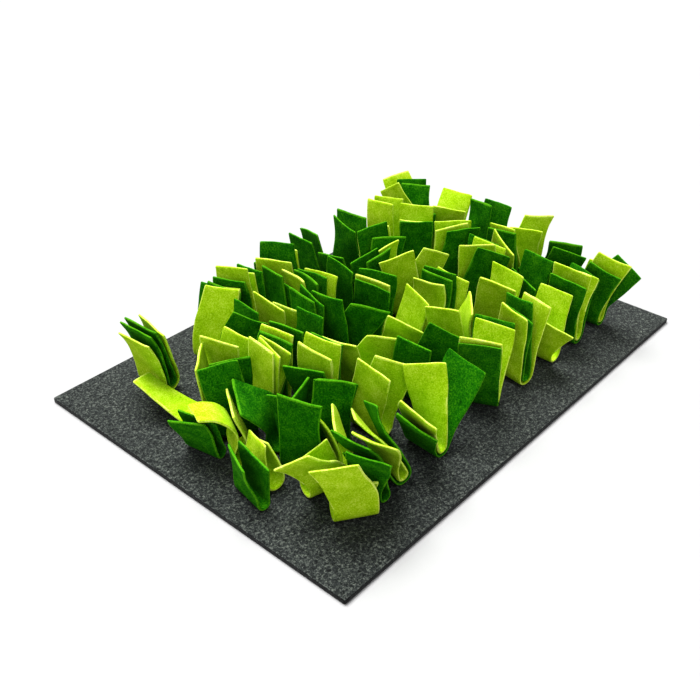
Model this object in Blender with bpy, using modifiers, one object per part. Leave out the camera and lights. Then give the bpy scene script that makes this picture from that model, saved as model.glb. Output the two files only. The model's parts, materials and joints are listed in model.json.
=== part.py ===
"""Snuffle mat: a flat felt base with rows of folded felt strips sewn onto it.

Each strip is one cut piece of felt, bent into a U and stitched down along its fold,
so that its two halves (its leaves) stand up. Some places hold two strips, one inside
the other. World X runs along the long side of the base and the floor is Z = 0.
"""
import math
import random
from collections import namedtuple

import bmesh
import bpy
from mathutils import Matrix, Vector
from mathutils.bvhtree import BVHTree

MM = 0.001
BASE_LONG = 0.420
BASE_WIDE = 0.300
BASE_THICK = 0.004
BASE_CORNER = 0.003
STRIP_WIDE = 0.030
STRIP_THICK = 0.002
OUTER_FOLD = 0.0070
INNER_FOLD = 0.0040
TIGHT_FOLD = 0.0040
ROOT_GAP = 0.0004
CLEAR_GAP = 0.0006
LEAF_STEPS = 5
FOLD_STEPS = 6
FINE_STEPS = 5
CUT_SLANT = 0.0020
SIDE_EASE = 0.35
TWIST_EASE = 0.85

FELT_COLOURS = {
    "lime": (0.42, 0.62, 0.02, 1.0),
    "dark": (0.03, 0.17, 0.01, 1.0),
    "base": (0.045, 0.047, 0.052, 1.0),
}

# A leaf: its length in mm from the bottom of the fold, then degrees: how far it leans out
# from the fold and sideways along the fold, how much it curls outwards and how it twists.
Leaf = namedtuple("Leaf", "long lean side curl twist")

# A fold: the radius of its bend, and how high it lies when it is inside another fold.
Fold = namedtuple("Fold", "radius lift")

# A strip: x and y of its fold in mm, and the heading of its second leaf in degrees.
Strip = namedtuple("Strip", "name colour x y turn fold first second")

OUT = Fold(OUTER_FOLD, 0.0)
INN = Fold(INNER_FOLD, OUTER_FOLD - INNER_FOLD)
TIE = Fold(TIGHT_FOLD, 0.0)
STRIPS = [Strip(*row[:6], Leaf(*row[6]), Leaf(*row[7])) for row in (
    # name    colour    x     y turn  fold  long lean side curl twist  long lean side curl twist
    ("a1",     "dark", -106,  -98, -12, OUT, (67,  33,   9, -12,  19), (59, -12, -31,  27, -19)),
    ("a1_in",  "lime", -106,  -98, -12, INN, (67,  28,  24,  21,  16), (52, -11, -44,  -2, -11)),
    ("n1",     "dark", -128, -100,  -9, TIE, (65,  20,  28,  14,  20), (36, -30,   0,   0,  12)),
    ("a2",     "dark",  -67, -100,  -4, OUT, (66,  32,  25,  13,   2), (69,  26,   7,   9,  17)),
    ("a2_in",  "lime",  -67, -100,  -4, INN, (67,  33,  21,  14,  -2), (65,  -1, -10,   3,  31)),
    ("a3",     "dark",    2,  -97,  25, OUT, (69,  14,   0,   6,   8), (66,  16,   4,  10,   0)),
    ("a3_in",  "lime",    2,  -97,  25, INN, (68,  14,   0,   4,   8), (62,  10,   6,   8,   0)),
    ("a4",     "lime",   46,  -97, -10, OUT, (70,   8,   6,   8,  -4), (70,   9,   4,  12,  -2)),
    ("a4_in",  "dark",   46,  -97, -10, INN, (58,   2,   3,   0,   0), (64,   6, -12,   8, -16)),
    ("a5",     "lime",   86,  -97,   0, OUT, (56,  26,  34,  16,  16), (60,   8,   0,  10,   0)),
    ("a6",     "dark",  122,  -97,   0, OUT, (69,  10,   7,   8,   6), (62,  14,   4,  10,   0)),
    ("a6_in",  "lime",  122,  -97,   0, INN, (70,   4,   4,   4,   6), (62,   0,   8,   8,  30)),
    ("a7",     "dark",  160,  -97,   0, OUT, (64,   2,  20,   6,  14), (70,   2,  34,  16,  14)),
    ("a7_in",  "lime",  160,  -97,   0, INN, (68,  -2,  20,   4,  14), (58,  -8,  26,   6,  14)),
    ("m1",     "dark", -129,  -20, -76, OUT, (65,  20,  38,  58,  16), (54,   8,   0,   0,   0)),
    ("z1",     "lime", -153, -107,  56, OUT, (66,  14, -23,  32,  -9), (34, -20,   0,   0,   0)),
    ("z2",     "lime", -147,  -75,  75, OUT, (65,  10, -44,  -2, -34), (36,  -6, -20,   0,   0)),
    ("n2",     "lime", -119,  -65, -28, TIE, (53,  24, -17,  50,  18), (44, -27,   8, -40, -12)),
    ("z3",     "lime", -168,  -38,  -8, OUT, (40, -12,  -7,  -4, -12), (34, -10, -26,   0,  -2)),
    ("z3b",    "lime", -160,   -6, -34, OUT, (65,  34,   7, 125,  13), (50, -25,   0,   0,   0)),
    ("z4",     "dark", -150,    8,  60, TIE, (64,  -4, -14,   0, -22), (58,  12,   0,   6,   0)),
    ("z5",     "lime", -150,   38, -52, TIE, (62,  66, -24, -10,  17), (58,  -8,   0,   0,   0)),
    ("z5b",    "lime", -124,   44,   0, OUT, (67,  12,  19,   4,  18), (64,   4,   8,   0,  10)),
    ("z6",     "lime", -144,  103,   8, OUT, (60,  18,   4,  36,   0), (63, -12,   4, -10, -10)),
    ("z6_in",  "dark", -144,  103,   8, INN, (62,  15,   4,  32,   0), (63, -13,   3,  -9, -10)),
    ("b1",     "lime",  -78,  -57,   0, OUT, (69,   4,  14,   6,   8), (69,   0,  18,   0,  44)),
    ("b2",     "dark",  -27,  -57,   0, OUT, (64,   8,  12,   6,  16), (69,   6,  20,   6,  40)),
    ("b3",     "lime",   25,  -57,   0, OUT, (69,  12,  -3,   8,   8), (69,  -6,  12,   0, -50)),
    ("b4",     "lime",   75,  -57,   0, OUT, (70,   6,  11,   6,   4), (66,   8,   0,  10,   0)),
    ("b5",     "dark",  120,  -57,   0, OUT, (60,  16,  14,   8, -16), (64,   8,   4,   8,   0)),
    ("b6",     "dark",  165,  -57,   0, OUT, (69,   5,  24,   8,  28), (70, -12,  14,  -6,  30)),
    ("c1",     "dark",  -92,  -19,   0, OUT, (61,  14,   6,   8,  18), (64,   8,  -6,  10,   0)),
    ("c2",     "lime",  -45,  -19,   0, OUT, (64,  22,   2,  12,   8), (67,  -8,  32, -10,  50)),
    ("c3",     "lime",    2,  -19,   0, OUT, (67,  16,  26,   8,  18), (66,   6,   8,   8, -12)),
    ("c5",     "dark",  105,  -19,  20, OUT, (70,   0,  18,   6,  30), (66,  12,   0,  10,   0)),
    ("c6",     "lime",  148,  -19,   0, OUT, (69,  13,  12,  10, -12), (70,  -6,  -8,   6,  -4)),
    ("c7",     "lime",  180,  -17,  20, OUT, (62,   2,   4,   6,   0), (70,   0,  12,  24,  40)),
    ("d1",     "lime", -112,   20,   0, OUT, (65,   5,  14,  14,  10), (64,   6,   0,   8,  10)),
    ("d2",     "dark",  -72,   20,   0, OUT, (65,  20,   4,   8,  12), (64,   6,   0,   8,   0)),
    ("d3",     "dark",  -25,   20,   0, OUT, (69,   5,  -2,   6,   8), (69,  -3,  34,   0,  44)),
    ("d4",     "dark",   15,   20,   0, OUT, (69,   9,  16,   8,  18), (69,  -6,   5,   0,  22)),
    ("d5",     "lime",   65,   20,  30, OUT, (69,   9, -15,   6,  30), (69,  -3,  24,   6,  42)),
    ("d6",     "dark",  122,   20,  40, OUT, (69,   4,   8,   6,  18), (66,  10,   0,  10,   0)),
    ("d7",     "dark",  178,   25,   0, OUT, (70,  -4,  -4,   0, -16), (64,  10,   4,  10,   0)),
    ("e1",     "dark",  -98,   62,   0, OUT, (69,  -8,  22,   4,  44), (64,   6,   0,   8,   0)),
    ("e2",     "lime",  -65,   58,   0, OUT, (69,   2,  12,   4,   2), (64, -10,  38,   0,  36)),
    ("e4",     "dark",   20,   58,   0, OUT, (69,   6,  12,   6,   0), (70, -14,  -8,  -6,   0)),
    ("e5",     "lime",   68,   58,  60, OUT, (67,  14,  -4,   8,  18), (66,   8,   0,   8,   0)),
    ("e6",     "dark",  115,   58,  35, OUT, (69,   3,   4,   4,   6), (66,   8,   4,   8,   0)),
    ("e7",     "lime",  160,   58,  35, OUT, (70,  11,   4,   8,  10), (70,  26,  14,  10, -24)),
    ("f2",     "lime",  -92,   98,  20, OUT, (70, -14,  10,  -8,  12), (64,  10,   6,   8,   0)),
    ("f2_in",  "dark",  -92,   98,  20, INN, (64, -14,  10,  -8,  12), (60,  10,   0,   8,   0)),
    ("f3",     "dark",  -56,   98,   0, OUT, (70,   9,   2,   6,  20), (66,   6,  -6,   8,   0)),
    ("f3_in",  "lime",  -56,   98,   0, INN, (70,   3,  -4,   2,  14), (62,   0,  -6,   8,   0)),
    ("f4",     "lime",  -15,   98,  30, OUT, (69,   5,   0,   4,   6), (66,  12,  -4,  10,   0)),
    ("f5",     "dark",   30,   98,   0, OUT, (70,   6,  -5,   4,  -4), (69,  -5, -12,   0, -16)),
    ("f6",     "dark",   74,   98,  20, OUT, (69,   4,   0,   6, -28), (66,   8,  -4,   8,   0)),
    ("f7",     "lime",  122,   98,  10, OUT, (69,  -2,  -2,   0, -10), (66,   8,  -6,   8,   0)),
    ("f8",     "lime",  172,  102,  35, OUT, (70,  -8, -30,   0, -36), (72,  28, -24,  10,  28)),
)]

# How a leaf may give way where it would touch a neighbour, gentlest first.
LEAN_STEPS = (0, -4, 4, -8, 8, -12, 12, -16, 16, -21, 21, -26, 26, -32, 32)
SIDE_STEPS = (0, -6, 6, -12, 12, -20, 20)
TWIST_STEPS = (0, -12, 12, -24, 24, -36, 36)
YIELDS = sorted(
    ((lean, side, twist) for lean in LEAN_STEPS for side in SIDE_STEPS for twist in TWIST_STEPS),
    key=lambda give: abs(give[0]) / 4 + abs(give[1]) / 6 + abs(give[2]) / 12,
)
SHIFTS = (
    (0, 0), (3, 0), (-3, 0), (0, 3), (0, -3), (4, 4), (-4, 4), (4, -4), (-4, -4), (7, 0), (0, 7),
    (0, -7),
)


def clear_scene():
    """Remove every object that is in the scene."""
    for old in list(bpy.data.objects):
        bpy.data.objects.remove(old, do_unlink=True)


def smooth(t):
    """A soft start and stop between 0 and 1."""
    t = min(max(t, 0.0), 1.0)
    return t * t * (3 - 2 * t)


def felt_material(name, colour):
    """Matt felt in one of the mat's three colours."""
    material = bpy.data.materials.new(name)
    material.use_nodes = True
    shader = material.node_tree.nodes["Principled BSDF"]
    shader.inputs["Base Color"].default_value = colour
    shader.inputs["Roughness"].default_value = 0.95
    shader.inputs["Metallic"].default_value = 0.0
    return material


def leaf_line(strip, leaf, sign):
    """Stations (centre, across) from the bottom of the fold to the tip of one leaf.

    The fold is a round bend of the strip's fold radius. Beyond it the leaf leans and
    curls evenly along its length, and its sway and its twist come in softly.
    """
    heading = math.radians(strip.turn)
    out = Vector((math.cos(heading), math.sin(heading), 0.0)) * sign
    fold_axis = Vector((math.sin(heading), -math.cos(heading), 0.0))
    up = Vector((0.0, 0.0, 1.0))
    height = BASE_THICK + ROOT_GAP + STRIP_THICK / 2 + strip.fold.lift
    root = Vector((strip.x * MM, strip.y * MM, height))
    lean = math.radians(leaf.lean)
    curl = math.radians(leaf.curl)
    bend = math.pi / 2 - (lean - curl / 2)
    stations = []
    for step in range(FOLD_STEPS // 2 + 1):
        angle = bend * step / (FOLD_STEPS // 2)
        centre = root + (out * math.sin(angle) + up * (1 - math.cos(angle))) * strip.fold.radius
        stations.append((centre, fold_axis.copy()))
    centre = stations[-1][0].copy()
    pieces = LEAF_STEPS * FINE_STEPS
    stride = (leaf.long * MM - strip.fold.radius * bend) / pieces
    for step in range(1, pieces + 1):
        part = (step - 0.5) / pieces
        rise = lean + curl * (part - 0.5)
        sway = math.radians(leaf.side) * smooth(part / SIDE_EASE)
        spin = math.radians(leaf.twist) * smooth(part / TWIST_EASE)
        forward = out * math.sin(rise) + up * math.cos(rise)
        along = forward * math.cos(sway) + fold_axis * math.sin(sway)
        centre += along * stride
        if step % FINE_STEPS == 0:
            across = fold_axis * math.cos(sway) - forward * math.sin(sway)
            stations.append((centre.copy(), Matrix.Rotation(spin, 3, along) @ across))
    return stations


def strip_rows(strip, slant):
    """Pairs of points, left and right of the strip's middle surface, from tip to tip."""
    first = leaf_line(strip, strip.first, -1)
    second = leaf_line(strip, strip.second, 1)
    line = list(reversed(first)) + second[1:]
    rows = [(centre - across * STRIP_WIDE / 2, centre + across * STRIP_WIDE / 2) for centre, across in line]
    for end, inner in ((0, 1), (-1, -2)):
        along = (line[end][0] - line[inner][0]).normalized()
        left, right = rows[end]
        rows[end] = (left - along * slant, right + along * slant)
    return rows


def felt_hull(rows, thick):
    """The strip's solid as points and faces, for measuring how close pieces come."""
    points = []
    faces = []
    last = len(rows) - 1
    for index, (left, right) in enumerate(rows):
        before = rows[max(index - 1, 0)]
        after = rows[min(index + 1, last)]
        run = after[0] + after[1] - before[0] - before[1]
        flat = run.cross(right - left).normalized() * thick / 2
        points += [left + flat, right + flat, right - flat, left - flat]
    for index in range(last):
        here = index * 4
        for corner in range(4):
            turn = (corner + 1) % 4
            faces.append((here + corner, here + turn, here + turn + 4, here + corner + 4))
    faces.append((0, 1, 2, 3))
    faces.append(tuple(last * 4 + corner for corner in range(4)))
    return points, faces


def tree_of(rows):
    """A search tree of one strip, or of a part of it, grown by half the clear gap."""
    points, faces = felt_hull(rows, STRIP_THICK + CLEAR_GAP)
    return BVHTree.FromPolygons(points, faces)


def clear_of(rows, trees):
    """True where this run of felt touches none of the strips already placed."""
    tree = tree_of(rows)
    return not any(tree.overlap(other) for other in trees)


def give_way(leaf, give):
    """The same leaf after it has leaned, swayed and twisted a little."""
    lean, side, twist = give
    return leaf._replace(lean=leaf.lean + lean, side=leaf.side + side, twist=leaf.twist + twist)


def settled_leaf(strip, which, slant, trees):
    """The leaf as near as it can be to the one asked for, clear of its neighbours."""
    middle = LEAF_STEPS + FOLD_STEPS // 2
    for give in YIELDS:
        leaf = give_way(getattr(strip, which), give)
        rows = strip_rows(strip._replace(**{which: leaf}), slant)
        if which == "first":
            fits = clear_of(rows[:middle + 1], trees)
        else:
            fits = clear_of(rows[middle:], trees + [tree_of(rows[:LEAF_STEPS + 1])])
        if fits:
            return leaf
    return None


def settle(strip, slant, trees):
    """Let the strip's leaves give way, least first, until they clear their neighbours."""
    for shift_x, shift_y in SHIFTS:
        moved = strip._replace(x=strip.x + shift_x, y=strip.y + shift_y)
        first = settled_leaf(moved, "first", slant, trees)
        if not first:
            continue
        moved = moved._replace(first=first)
        second = settled_leaf(moved, "second", slant, trees)
        if second:
            return moved._replace(second=second)
    return strip


def strip_object(name, rows, material):
    """One felt strip: an open grid bent to its rows, given its thickness by Solidify."""
    mesh = bpy.data.meshes.new(name)
    bm = bmesh.new()
    last = len(rows) - 1
    bmesh.ops.create_grid(bm, x_segments=last, y_segments=1, size=0.5)
    for vert in bm.verts:
        row = round((vert.co.x + 0.5) * last)
        vert.co = rows[row][round(vert.co.y + 0.5)]
    bm.to_mesh(mesh)
    bm.free()
    mesh.materials.append(material)
    felt = bpy.data.objects.new(name, mesh)
    sheet = felt.modifiers.new("felt", "SOLIDIFY")
    sheet.thickness = STRIP_THICK
    sheet.offset = 0.0
    sheet.use_even_offset = True
    return felt


def base_object(material):
    """The base: one flat sheet of thick felt with barely rounded corners."""
    mesh = bpy.data.meshes.new("base")
    bm = bmesh.new()
    bmesh.ops.create_cube(bm, size=1.0)
    bmesh.ops.scale(bm, vec=(BASE_LONG, BASE_WIDE, BASE_THICK), verts=bm.verts)
    bmesh.ops.translate(bm, vec=(0.0, 0.0, BASE_THICK / 2), verts=bm.verts)
    corners = [edge for edge in bm.edges if abs(edge.verts[0].co.z - edge.verts[1].co.z) > BASE_THICK / 2]
    bmesh.ops.bevel(bm, geom=corners, offset=BASE_CORNER, segments=3, profile=0.5, affect="EDGES")
    bm.to_mesh(mesh)
    bm.free()
    mesh.materials.append(material)
    return bpy.data.objects.new("base", mesh)


def build_mat():
    """Lay the base, then sew on the strips one after the other."""
    clear_scene()
    mat = bpy.data.collections.new("snuffle_mat")
    bpy.context.scene.collection.children.link(mat)
    felts = {name: felt_material("felt_" + name, colour) for name, colour in FELT_COLOURS.items()}
    mat.objects.link(base_object(felts["base"]))
    chance = random.Random(7)
    trees = []
    for strip in STRIPS:
        slant = chance.uniform(-CUT_SLANT, CUT_SLANT)
        placed = settle(strip, slant, trees)
        rows = strip_rows(placed, slant)
        trees.append(tree_of(rows))
        mat.objects.link(strip_object("strip_" + strip.name, rows, felts[strip.colour]))


build_mat()
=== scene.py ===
import json
import math
import random

import bmesh
import bpy
from mathutils import Matrix, Vector, noise
from mathutils.bvhtree import BVHTree


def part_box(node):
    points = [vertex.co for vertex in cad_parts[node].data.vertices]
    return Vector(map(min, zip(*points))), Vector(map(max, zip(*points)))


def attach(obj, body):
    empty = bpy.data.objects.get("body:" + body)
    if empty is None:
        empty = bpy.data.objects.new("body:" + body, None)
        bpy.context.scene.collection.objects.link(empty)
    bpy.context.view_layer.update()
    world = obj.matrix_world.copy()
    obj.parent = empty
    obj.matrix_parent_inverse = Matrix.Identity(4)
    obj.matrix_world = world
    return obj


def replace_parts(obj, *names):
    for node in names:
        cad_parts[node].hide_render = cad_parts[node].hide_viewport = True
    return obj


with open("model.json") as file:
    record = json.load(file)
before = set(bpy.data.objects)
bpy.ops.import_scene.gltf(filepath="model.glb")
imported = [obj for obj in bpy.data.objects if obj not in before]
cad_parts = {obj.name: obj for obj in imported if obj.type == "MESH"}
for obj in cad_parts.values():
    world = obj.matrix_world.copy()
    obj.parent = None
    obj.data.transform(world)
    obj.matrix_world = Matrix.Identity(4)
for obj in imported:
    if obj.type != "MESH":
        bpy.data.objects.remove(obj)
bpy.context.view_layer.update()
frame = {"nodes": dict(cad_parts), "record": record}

MM = 0.001
scene = bpy.context.scene


# ---- Camera -------------------------------------------------------------------------------
# A tabletop product view: the mat is turned with one short end towards the lower left, and
# it is looked down on from about a third of the way up.
VIEW_TURN = math.radians(-48.4)
VIEW_RISE = math.radians(33.9)
VIEW_DISTANCE = 768.6 * MM
VIEW_CENTRE = Vector((-10.1, 23.5, 4.0)) * MM
SENSOR_MM = 36.0
LENS_MM = 47.98

towards_camera = Vector((
    math.sin(VIEW_TURN) * math.cos(VIEW_RISE),
    -math.cos(VIEW_TURN) * math.cos(VIEW_RISE),
    math.sin(VIEW_RISE),
))
camera_data = bpy.data.cameras.new("camera")
camera_data.sensor_width = SENSOR_MM
camera_data.lens = LENS_MM
camera = bpy.data.objects.new("camera", camera_data)
camera.location = VIEW_CENTRE + towards_camera * VIEW_DISTANCE
camera.rotation_euler = towards_camera.to_track_quat("Z", "Y").to_euler()
scene.collection.objects.link(camera)
scene.camera = camera


# ---- Table top and studio light -----------------------------------------------------------
# A plain white table that runs out of view, in an even white room, with one wide key light
# high behind the mat and a weaker one in front. The mat's shadow is soft and stays close.
TABLE_HALF = 3.0
TABLE_WHITE = "ABABAB"
LIGHTS = (
    # name, the direction that it comes from, its strength and how wide it looks in degrees
    ("key_light", Vector((0.12, 0.50, 1.25)), 5.1, 40.0),
    ("front_light", Vector((-0.62, -0.50, 0.70)), 0.9, 60.0),
)
SKY_STRENGTH = 0.40


def linear_colour(hex_code):
    """A colour given as sRGB hex, as linear red, green, blue and a full alpha."""
    parts = [int(hex_code[at:at + 2], 16) / 255 for at in (0, 2, 4)]
    return tuple(
        part / 12.92 if part <= 0.04045 else ((part + 0.055) / 1.055) ** 2.4 for part in parts
    ) + (1.0,)


def object_from(name, bm):
    """A new object at the origin that takes its mesh, with smooth faces, from bm."""
    mesh = bpy.data.meshes.new(name)
    for face in bm.faces:
        face.smooth = True
    bm.to_mesh(mesh)
    bm.free()
    made = bpy.data.objects.new(name, mesh)
    scene.collection.objects.link(made)
    return made


bm = bmesh.new()
bmesh.ops.create_grid(bm, x_segments=1, y_segments=1, size=TABLE_HALF)
table = object_from("table_top", bm)
white = bpy.data.materials.new("white_table")
white.use_nodes = True
white_shader = white.node_tree.nodes["Principled BSDF"]
white_shader.inputs["Base Color"].default_value = linear_colour(TABLE_WHITE)
white_shader.inputs["Roughness"].default_value = 0.9
table.data.materials.append(white)

sky = bpy.data.worlds.new("studio")
sky.use_nodes = True
sky.node_tree.nodes["Background"].inputs["Color"].default_value = linear_colour("FFFFFF")
sky.node_tree.nodes["Background"].inputs["Strength"].default_value = SKY_STRENGTH
scene.world = sky

for name, direction, strength, spread in LIGHTS:
    lamp = bpy.data.lights.new(name, "SUN")
    lamp.energy = strength
    lamp.angle = math.radians(spread)
    light = bpy.data.objects.new(name, lamp)
    light.location = direction
    light.rotation_euler = direction.to_track_quat("Z", "Y").to_euler()
    scene.collection.objects.link(light)

scene.view_settings.view_transform = "Standard"
scene.view_settings.look = "Medium High Contrast"


# ---- Base ---------------------------------------------------------------------------------
# One flat sheet of thick charcoal felt, needled from black, grey and pale fibres, so that it
# looks marled. It is cut to a plain rectangle with square edges; painted shade darkens its sides.
BASE_LOW, BASE_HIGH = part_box("base")
BASE_GRIDS = (84, 60)
BASE_CORNER = 1.2 * MM
BASE_EDGE_ROUND = 0.5 * MM
BASE_UNEVEN = 0.12 * MM
DIPS_PER_METRE = 120
MARL_MM = 1.8
MARL_STEPS = (0.36, 0.52, 0.70)
FLECK_MM = 0.55
MARL_TOP = ("090B0B", "2B2F2E", "686D66")
# the sides: the same marl painted darker, as painted shade
MARL_EDGE_PAINTED_SHADE = ("040505", "101212", "363938")


def add_node(material, kind, links=()):
    """One node; each of its links is a socket's name and a value or another socket."""
    made = material.node_tree.nodes.new(kind)
    for key, value in links:
        if isinstance(value, bpy.types.NodeSocket):
            material.node_tree.links.new(value, made.inputs[key])
        else:
            made.inputs[key].default_value = value
    return made


def cloth_material(name):
    """An empty material, and its shader with the sockets that every felt here shares."""
    material = bpy.data.materials.new(name)
    material.use_nodes = True
    shader = material.node_tree.nodes["Principled BSDF"]
    shader.inputs["Metallic"].default_value = 0.0
    shader.inputs["IOR"].default_value = 1.45
    shader.inputs["Roughness"].default_value = 0.95
    return material, shader


def marled_felt(name, dark, middle, pale):
    """Needled felt of mixed fibres: clumps of three greys, with a fine fleck and tooth."""
    marl, shader = cloth_material(name)
    here = add_node(marl, "ShaderNodeTexCoord").outputs["Object"]
    clumps = add_node(marl, "ShaderNodeTexNoise", [
        ("Vector", here), ("Scale", 1 / (MARL_MM * MM)), ("Detail", 3.0), ("Roughness", 0.7),
        ("Distortion", 0.9),
    ])
    shade = add_node(marl, "ShaderNodeValToRGB", [("Fac", clumps.outputs["Fac"])])
    shade.color_ramp.elements[0].position = MARL_STEPS[0]
    shade.color_ramp.elements[0].color = linear_colour(dark)
    shade.color_ramp.elements[1].position = MARL_STEPS[2]
    shade.color_ramp.elements[1].color = linear_colour(pale)
    shade.color_ramp.elements.new(MARL_STEPS[1]).color = linear_colour(middle)
    marl.node_tree.links.new(shade.outputs["Color"], shader.inputs["Base Color"])
    fine = add_node(marl, "ShaderNodeTexNoise", [
        ("Vector", here), ("Scale", 1 / (FLECK_MM * MM)), ("Detail", 2.0), ("Roughness", 0.6),
    ])
    tooth = add_node(marl, "ShaderNodeBump", [
        ("Height", fine.outputs["Fac"]), ("Strength", 0.5), ("Distance", 0.3 * MM),
    ])
    marl.node_tree.links.new(tooth.outputs["Normal"], shader.inputs["Normal"])
    shader.inputs["Specular IOR Level"].default_value = 0.2
    shader.inputs["Sheen Weight"].default_value = 0.12
    shader.inputs["Sheen Roughness"].default_value = 0.5
    return marl


bm = bmesh.new()
bmesh.ops.create_cube(bm, size=1.0)
bmesh.ops.scale(bm, vec=BASE_HIGH - BASE_LOW, verts=bm.verts)
bmesh.ops.translate(bm, vec=(BASE_HIGH + BASE_LOW) / 2, verts=bm.verts)
bmesh.ops.bevel(
    bm, geom=[edge for edge in bm.edges if abs((edge.verts[0].co - edge.verts[1].co).z) > MM],
    offset=BASE_CORNER, segments=2, affect="EDGES", profile=0.5, material=-1,
)
# the upright sides take the second, darker marl: painted shade
for face in bm.faces:
    face.material_index = int(abs(face.normal.z) < 0.5)
bmesh.ops.bevel(
    bm, geom=[edge for edge in bm.edges if abs((edge.verts[0].co - edge.verts[1].co).z) < MM / 10],
    offset=BASE_EDGE_ROUND, segments=2, affect="EDGES", profile=0.5, material=-1,
)
for axis, count in enumerate(BASE_GRIDS):
    for step in range(1, count):
        across = Vector((0.0, 0.0, 0.0))
        across[axis] = 1.0
        place = BASE_LOW + (BASE_HIGH - BASE_LOW) * (step / count)
        bmesh.ops.bisect_plane(
            bm, geom=bm.verts[:] + bm.edges[:] + bm.faces[:], plane_co=place, plane_no=across,
            dist=1e-6,
        )
for vert in bm.verts:
    if vert.co.z > BASE_HIGH.z - BASE_EDGE_ROUND / 2:
        vert.co.z -= BASE_UNEVEN * (0.5 + 0.5 * noise.noise(vert.co * DIPS_PER_METRE))
base = object_from("felt_base", bm)
base.data.materials.append(marled_felt("charcoal_marled_needle_felt", *MARL_TOP))
base.data.materials.append(marled_felt("charcoal_felt_cut_edge", *MARL_EDGE_PAINTED_SHADE))

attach(base, "root")
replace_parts(base, "base")


# ---- Felt strips --------------------------------------------------------------------------
# Soft craft felt in two greens, cut by hand into strips that are folded in two and fixed to
# the base at the fold, so that each one stands up as two leaves. The cut edges are a bit
# fuzzy, and their colour is painted paler as a painted highlight.
STRIP_WIDE = 30.0 * MM
STRIP_THICK = 2.0 * MM
CUT_ROUND = 0.45 * MM
WELD = 0.001 * MM
SHARP_ANGLE = 1.0
COLUMNS = 8
WAVE_MM = 36.0
WAVE_DEEP = 3.6 * MM
RIPPLE_MM = 9.0
RIPPLE_DEEP = 0.5 * MM
RIPPLE_SHIFT = Vector((5.0, 3.0, 9.0))
PUSH_APART = (0.0, 31.4, 67.8)
STIFF_HEIGHT = 8.0 * MM
LOOSE_HEIGHT = 45.0 * MM
CLOUD_MM = 9.0
GRAIN_MM = 1.1
GRAIN_SHARE = 0.72
TINT_STEPS = (0.34, 0.50, 0.68)
TOOTH_MM = 0.8
FACE_FUZZ = 0.16
CUT_FUZZ = 0.4
# deep, body and pale: the felt's own mottled tones; cut: a painted highlight for the cut edges
LIME = {"deep": "7CAA02", "body": "A6CC14", "pale": "CCE258", "cut": "E6F490"}
DARK = {"deep": "083F03", "body": "1F6C05", "pale": "509410", "cut": "66A422"}


def green_felt(name, deep, body, pale, fuzz):
    """Craft felt: cloudy dyed fibres, a soft sheen of loose fibres and a slight tooth."""
    felt, face = cloth_material(name)
    here = add_node(felt, "ShaderNodeTexCoord").outputs["Object"]
    cloud = add_node(felt, "ShaderNodeTexNoise", [
        ("Vector", here), ("Scale", 1 / (CLOUD_MM * MM)), ("Detail", 2.0), ("Roughness", 0.5),
    ])
    grain = add_node(felt, "ShaderNodeTexNoise", [
        ("Vector", here), ("Scale", 1 / (GRAIN_MM * MM)), ("Detail", 3.0), ("Roughness", 0.7),
    ])
    blend = add_node(felt, "ShaderNodeMix", [
        ("Factor", GRAIN_SHARE), ("A", cloud.outputs["Fac"]), ("B", grain.outputs["Fac"]),
    ])
    tint = add_node(felt, "ShaderNodeValToRGB", [("Fac", blend.outputs["Result"])])
    tint.color_ramp.elements[0].position = TINT_STEPS[0]
    tint.color_ramp.elements[0].color = linear_colour(deep)
    tint.color_ramp.elements[1].position = TINT_STEPS[2]
    tint.color_ramp.elements[1].color = linear_colour(pale)
    tint.color_ramp.elements.new(TINT_STEPS[1]).color = linear_colour(body)
    felt.node_tree.links.new(tint.outputs["Color"], face.inputs["Base Color"])
    tooth = add_node(felt, "ShaderNodeTexNoise", [
        ("Vector", here), ("Scale", 1 / (TOOTH_MM * MM)), ("Detail", 3.0), ("Roughness", 0.65),
    ])
    dent = add_node(felt, "ShaderNodeBump", [
        ("Height", tooth.outputs["Fac"]), ("Strength", 0.5), ("Distance", 0.3 * MM),
    ])
    felt.node_tree.links.new(dent.outputs["Normal"], face.inputs["Normal"])
    face.inputs["Specular IOR Level"].default_value = 0.08
    face.inputs["Sheen Weight"].default_value = fuzz
    face.inputs["Sheen Roughness"].default_value = 0.40
    face.inputs["Sheen Tint"].default_value = linear_colour(pale)
    return felt


greens = {}
for slot, colour, tints in (("felt_lime", "lime", LIME), ("felt_dark", "dark_green", DARK)):
    deep, body, pale, cut = (tints[shade] for shade in ("deep", "body", "pale", "cut"))
    greens[slot] = (
        green_felt(colour + "_craft_felt", deep, body, pale, FACE_FUZZ),
        # the cut edges: the felt one step paler, as a painted highlight, with more sheen for fuzz
        green_felt(colour + "_felt_cut_edge", body, pale, cut, CUT_FUZZ),
    )
slot_of = {part["node"]: part["material_slot"] for part in frame["record"]["subparts"]}


def sharp_edges(bm):
    """The long corners and the tips of a strip, where its broad sides meet its cut sides."""
    return [edge for edge in bm.edges if edge.calc_face_angle(0.0) > SHARP_ANGLE]


def push_at(point):
    """Which way and how far the felt is pushed there, from steady noise along each axis."""
    return Vector([noise.noise(point + Vector((0.0, 0.0, apart))) for apart in PUSH_APART])


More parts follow.
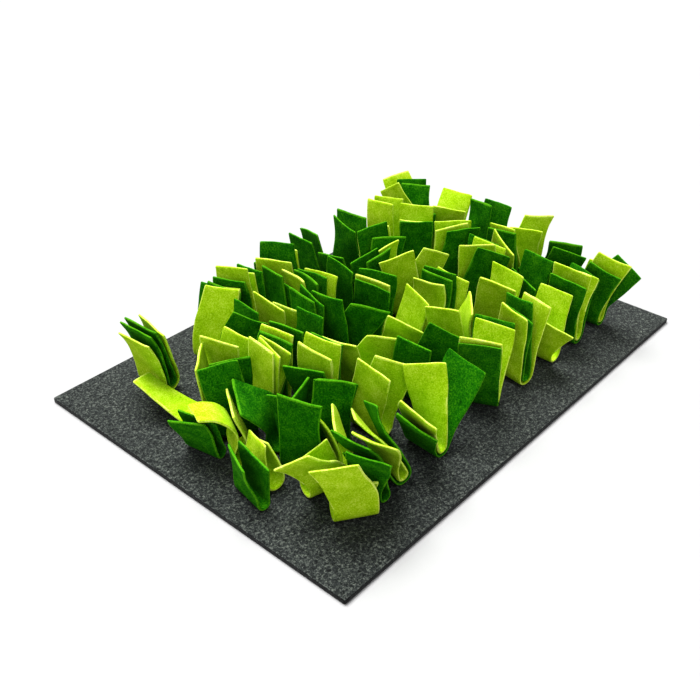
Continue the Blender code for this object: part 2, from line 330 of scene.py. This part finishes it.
def dress_strip(name, bm, slot):
    """A strip's plain form becomes the finished piece: waves, ripples and soft cut edges."""
    sharp = set(sharp_edges(bm))
    # the cut sides and tips take the second material, with its painted highlight
    for face in bm.faces:
        level = [edge for edge in face.edges if edge not in sharp]
        face.material_index = int(all(edge.calc_length() < STRIP_WIDE / 6 for edge in level))
    area = sum(face.calc_area() for face in bm.faces)
    across = [edge for edge in bm.edges if edge.calc_length() > STRIP_WIDE * 0.8]
    bmesh.ops.subdivide_edges(bm, edges=across, cuts=COLUMNS - 1, use_grid_fill=True)
    along = [edge for edge in bm.edges if edge.calc_length() > STRIP_WIDE / 5]
    bmesh.ops.subdivide_edges(bm, edges=along, cuts=1, use_grid_fill=True)
    bmesh.ops.bevel(
        bm, geom=sharp_edges(bm), offset=CUT_ROUND, segments=1, affect="EDGES", profile=0.5,
        material=-1,
    )
    for vert in bm.verts:
        broad = push_at(vert.co / (WAVE_MM * MM))
        small = push_at(vert.co / (RIPPLE_MM * MM) + RIPPLE_SHIFT)
        loose = min(1.0, max(0.0, (vert.co.z - STIFF_HEIGHT) / (LOOSE_HEIGHT - STIFF_HEIGHT)))
        vert.co += (broad * WAVE_DEEP + small * RIPPLE_DEEP) * loose
    piece = object_from(name, bm)
    for felt in greens[slot]:
        piece.data.materials.append(felt)
    soften = piece.modifiers.new("soften", "SUBSURF")
    soften.levels = 1
    soften.render_levels = 1
    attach(piece, "root")
    return piece


for node in sorted(name for name in frame["nodes"] if name.startswith("strip_")):
    bm = bmesh.new()
    bm.from_mesh(frame["nodes"][node].data)
    bmesh.ops.remove_doubles(bm, verts=bm.verts, dist=WELD)
    bmesh.ops.join_triangles(
        bm, faces=bm.faces, angle_face_threshold=math.radians(60),
        angle_shape_threshold=math.radians(90),
    )
    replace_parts(dress_strip(node.replace("strip_", "felt_"), bm, slot_of[node]), node)


# ---- Filling strips -----------------------------------------------------------------------
# The mat is stuffed with more strips of the same cut: some are sewn inside the fold of
# another strip and some in the gaps between the rows. Each one is soft, so its leaves lean,
# sway and twist whichever way the strips around it leave them room.
CLEAR_GAP = 0.6 * MM
SEAT_HEIGHT = 0.4 * MM
LEAF_SPANS = (
    # from and to: length in mm, then more lean, sway, curl and twist in degrees
    (60.0, 70.0), (-5.0, 5.0), (-8.0, 8.0), (2.0, 10.0), (-16.0, 16.0),
)
LEAF_STEPS = 5
FINE_STEPS = 5
FOLD_STEPS = 3
SWAY_DONE = 0.35
TWIST_DONE = 0.85
LEAN_GIVES = (0, -4, 4, -8, 8, -12, 12, -17, 17, -23, 23)
SWAY_GIVES = (0, -6, 6, -12, 12, -20, 20)
TWIST_GIVES = (0, -12, 12, -24, 24)
SHORTER_LEAVES = (1.0, 0.85, 0.7, 0.55)
WIDE = (7.0, 0.0)
NESTED = (4.0, 3.0)
TIGHT = (4.0, 0.0)
FILLING_STRIPS = (
    # x and y of the fold in mm, the heading of its second leaf in degrees, the radius of the
    # fold's bend and its height above the base in mm, how far its two leaves lean outwards,
    # and the share of a full leaf's length that both are cut to
    # name     slot           x    y turn  fold    leans     cut
    ("c1_in",  "felt_lime",  -92,  -19,   0, NESTED, (4, 4),    1.0),
    ("c4",     "felt_lime",   50,  -19,   0, WIDE,   (4, 4),    1.0),
    ("c4_in",  "felt_dark",   50,  -19,   0, NESTED, (4, 4),    1.0),
    ("c5_in",  "felt_lime",  105,  -19,  20, NESTED, (4, 4),    1.0),
    ("c6_in",  "felt_dark",  148,  -19,   0, NESTED, (4, 4),    1.0),
    ("d1_in",  "felt_dark", -105,   20,   0, NESTED, (4, 4),    1.0),
    ("d4_in",  "felt_lime",   15,   20,   0, NESTED, (4, 4),    1.0),
    ("d6_in",  "felt_lime",  122,   20,  40, NESTED, (4, 4),    1.0),
    ("e3",     "felt_lime",  -22,   58,   0, WIDE,   (4, 4),    1.0),
    ("e3_in",  "felt_dark",  -22,   58,   0, NESTED, (4, 4),    1.0),
    ("e5_in",  "felt_dark",   68,   58,  60, NESTED, (4, 4),    1.0),
    ("e6_in",  "felt_lime",  115,   58,  35, NESTED, (4, 4),    1.0),
    ("f4_in",  "felt_dark",  -15,   98,  30, NESTED, (4, 4),    1.0),
    ("f8_in",  "felt_dark",  172,  102,  35, NESTED, (4, 4),    1.0),
    ("gap_1",  "felt_dark", -110,  -45,  60, TIGHT,  (4, 4),    1.0),
    ("gap_2",  "felt_dark", -186,  -46, -10, TIGHT,  (6, -6),   0.6),
    ("gap_3",  "felt_dark",  -45,   38,   0, TIGHT,  (4, 4),    1.0),
    ("gap_4",  "felt_dark", -174,   14,  10, TIGHT,  (16, -20), 0.6),
    ("gap_5",  "felt_dark",   40,   40, -60, TIGHT,  (4, 4),    1.0),
    ("gap_6",  "felt_dark",  -40,   78,   0, TIGHT,  (4, 4),    1.0),
    ("gap_7",  "felt_dark", -142,  -50,  30, TIGHT,  (4, -10),  1.0),
    ("gap_8",  "felt_lime", -124,   10,   0, TIGHT,  (-10, 0),  1.0),
)


def leaf_path(strip, leaf, sign):
    """Centres and cross directions from the bottom of the fold to the tip of one leaf."""
    _, _, x, y, turn, (radius, lift), _, _ = strip
    long, lean, sway, curl, twist = leaf
    heading = math.radians(turn)
    out = Vector((math.cos(heading), math.sin(heading), 0.0)) * sign
    fold_axis = Vector((math.sin(heading), -math.cos(heading), 0.0))
    up = Vector((0.0, 0.0, 1.0))
    root = Vector((x * MM, y * MM, BASE_HIGH.z + SEAT_HEIGHT + STRIP_THICK / 2 + lift * MM))
    bend = math.pi / 2 - math.radians(lean - curl / 2)
    path = []
    for step in range(FOLD_STEPS + 1):
        angle = bend * step / FOLD_STEPS
        round_fold = out * math.sin(angle) + up * (1 - math.cos(angle))
        path.append((root + round_fold * radius * MM, fold_axis))
    centre = path[-1][0].copy()
    stride = (long - radius * bend) * MM / (LEAF_STEPS * FINE_STEPS)
    for step in range(1, LEAF_STEPS * FINE_STEPS + 1):
        part = (step - 0.5) / (LEAF_STEPS * FINE_STEPS)
        rise = math.radians(lean + curl * (part - 0.5))
        early = min(1.0, part / SWAY_DONE)
        late = min(1.0, part / TWIST_DONE)
        turned = math.radians(sway) * early * early * (3 - 2 * early)
        spin = math.radians(twist) * late * late * (3 - 2 * late)
        forward = out * math.sin(rise) + up * math.cos(rise)
        along = forward * math.cos(turned) + fold_axis * math.sin(turned)
        centre += along * stride
        if step % FINE_STEPS == 0:
            across = fold_axis * math.cos(turned) - forward * math.sin(turned)
            path.append((centre.copy(), Matrix.Rotation(spin, 3, along) @ across))
    return path


def plain_strip(path, grown):
    """A strip, or a part of one, along its path: a flat grid bent to it and thickened."""
    bm = bmesh.new()
    bmesh.ops.create_grid(bm, x_segments=len(path) - 1, y_segments=1, size=0.5)
    for vert in bm.verts:
        centre, across = path[round((vert.co.x + 0.5) * (len(path) - 1))]
        vert.co = centre + across * vert.co.y * (STRIP_WIDE + grown)
    bmesh.ops.recalc_face_normals(bm, faces=bm.faces)
    for vert in bm.verts:
        vert.co += vert.normal * (STRIP_THICK + grown) / 2
    bmesh.ops.solidify(bm, geom=bm.faces[:], thickness=STRIP_THICK + grown)
    bmesh.ops.recalc_face_normals(bm, faces=bm.faces)
    return bm


def search_tree(bm):
    """What a strip or a space fills, to be tested against the next strip."""
    tree = BVHTree.FromBMesh(bm)
    bm.free()
    return tree


def settled_path(strip, leaf, sign, filled):
    """The path of the leaf as near as it comes to the one asked for, clear of all others."""
    long, lean, sway, curl, twist = leaf
    for shorter in SHORTER_LEAVES:
        for lean_give, sway_give, twist_give in GIVES:
            moved = (
                long * shorter, lean + lean_give, sway + sway_give, curl, twist + twist_give,
            )
            path = leaf_path(strip, moved, sign)
            tree = search_tree(plain_strip(path, 2 * CLEAR_GAP))
            if not any(tree.overlap(other) for other in filled):
                return path
    raise RuntimeError("no room for a leaf of " + strip[0])


GIVES = sorted(
    ((lean, sway, twist) for lean in LEAN_GIVES for sway in SWAY_GIVES for twist in TWIST_GIVES),
    key=lambda give: abs(give[0]) / 4 + abs(give[1]) / 6 + abs(give[2]) / 12,
)
filled = []
for node in sorted(name for name in frame["nodes"] if name.startswith("strip_")):
    bm = bmesh.new()
    bm.from_mesh(frame["nodes"][node].data)
    filled.append(search_tree(bm))
for opening in frame["record"]["physics"]["openings"]:
    lowest, highest = (Vector(corner) for corner in opening["box_m"])
    bm = bmesh.new()
    bmesh.ops.create_cube(bm, size=1.0)
    bmesh.ops.scale(bm, vec=highest - lowest, verts=bm.verts)
    bmesh.ops.translate(bm, vec=(highest + lowest) / 2, verts=bm.verts)
    filled.append(search_tree(bm))

chance = random.Random(11)
for strip in FILLING_STRIPS:
    name, slot, _, _, _, _, leans, cut = strip
    leaves = []
    for lean in leans:
        long, more, sway, curl, twist = (chance.uniform(*span) for span in LEAF_SPANS)
        leaves.append((long * cut, lean + more, sway, curl, twist))
    first = settled_path(strip, leaves[0], -1, filled)
    own = search_tree(plain_strip(first[FOLD_STEPS:], 0.0))
    second = settled_path(strip, leaves[1], 1, filled + [own])
    path = first[:0:-1] + second
    filled.append(search_tree(plain_strip(path, 0.0)))
    dress_strip("felt_" + name, plain_strip(path, 0.0), slot)
